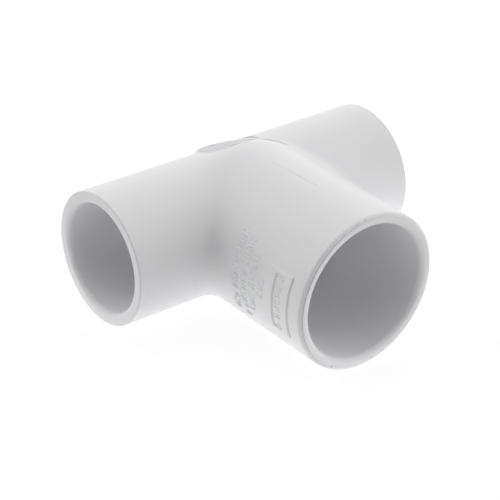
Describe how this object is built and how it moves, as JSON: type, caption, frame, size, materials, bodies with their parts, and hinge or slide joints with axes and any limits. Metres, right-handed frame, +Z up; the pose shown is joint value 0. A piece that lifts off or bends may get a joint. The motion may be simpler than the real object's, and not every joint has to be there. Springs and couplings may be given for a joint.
{
  "type": "reducing tee",
  "caption": "Moulded white plastic pipe tee with tapered solvent-weld sockets: a straight run and a larger branch at right angles, joined by a domed shoulder.",
  "frame": {"origin": "where the axis of the run and the axis of the branch cross", "axes": "+X along the run, the branch opens toward -Y, +Z up and square to both axes"},
  "size_m": [0.1026, 0.0814, 0.05],
  "materials": {
    "moulded_pvc": "white rigid PVC, injection moulded, soft gloss with a fine mould texture"
  },
  "bodies": {
    "root": {"tee_body": "moulded_pvc"}
  },
  "joints": []
}
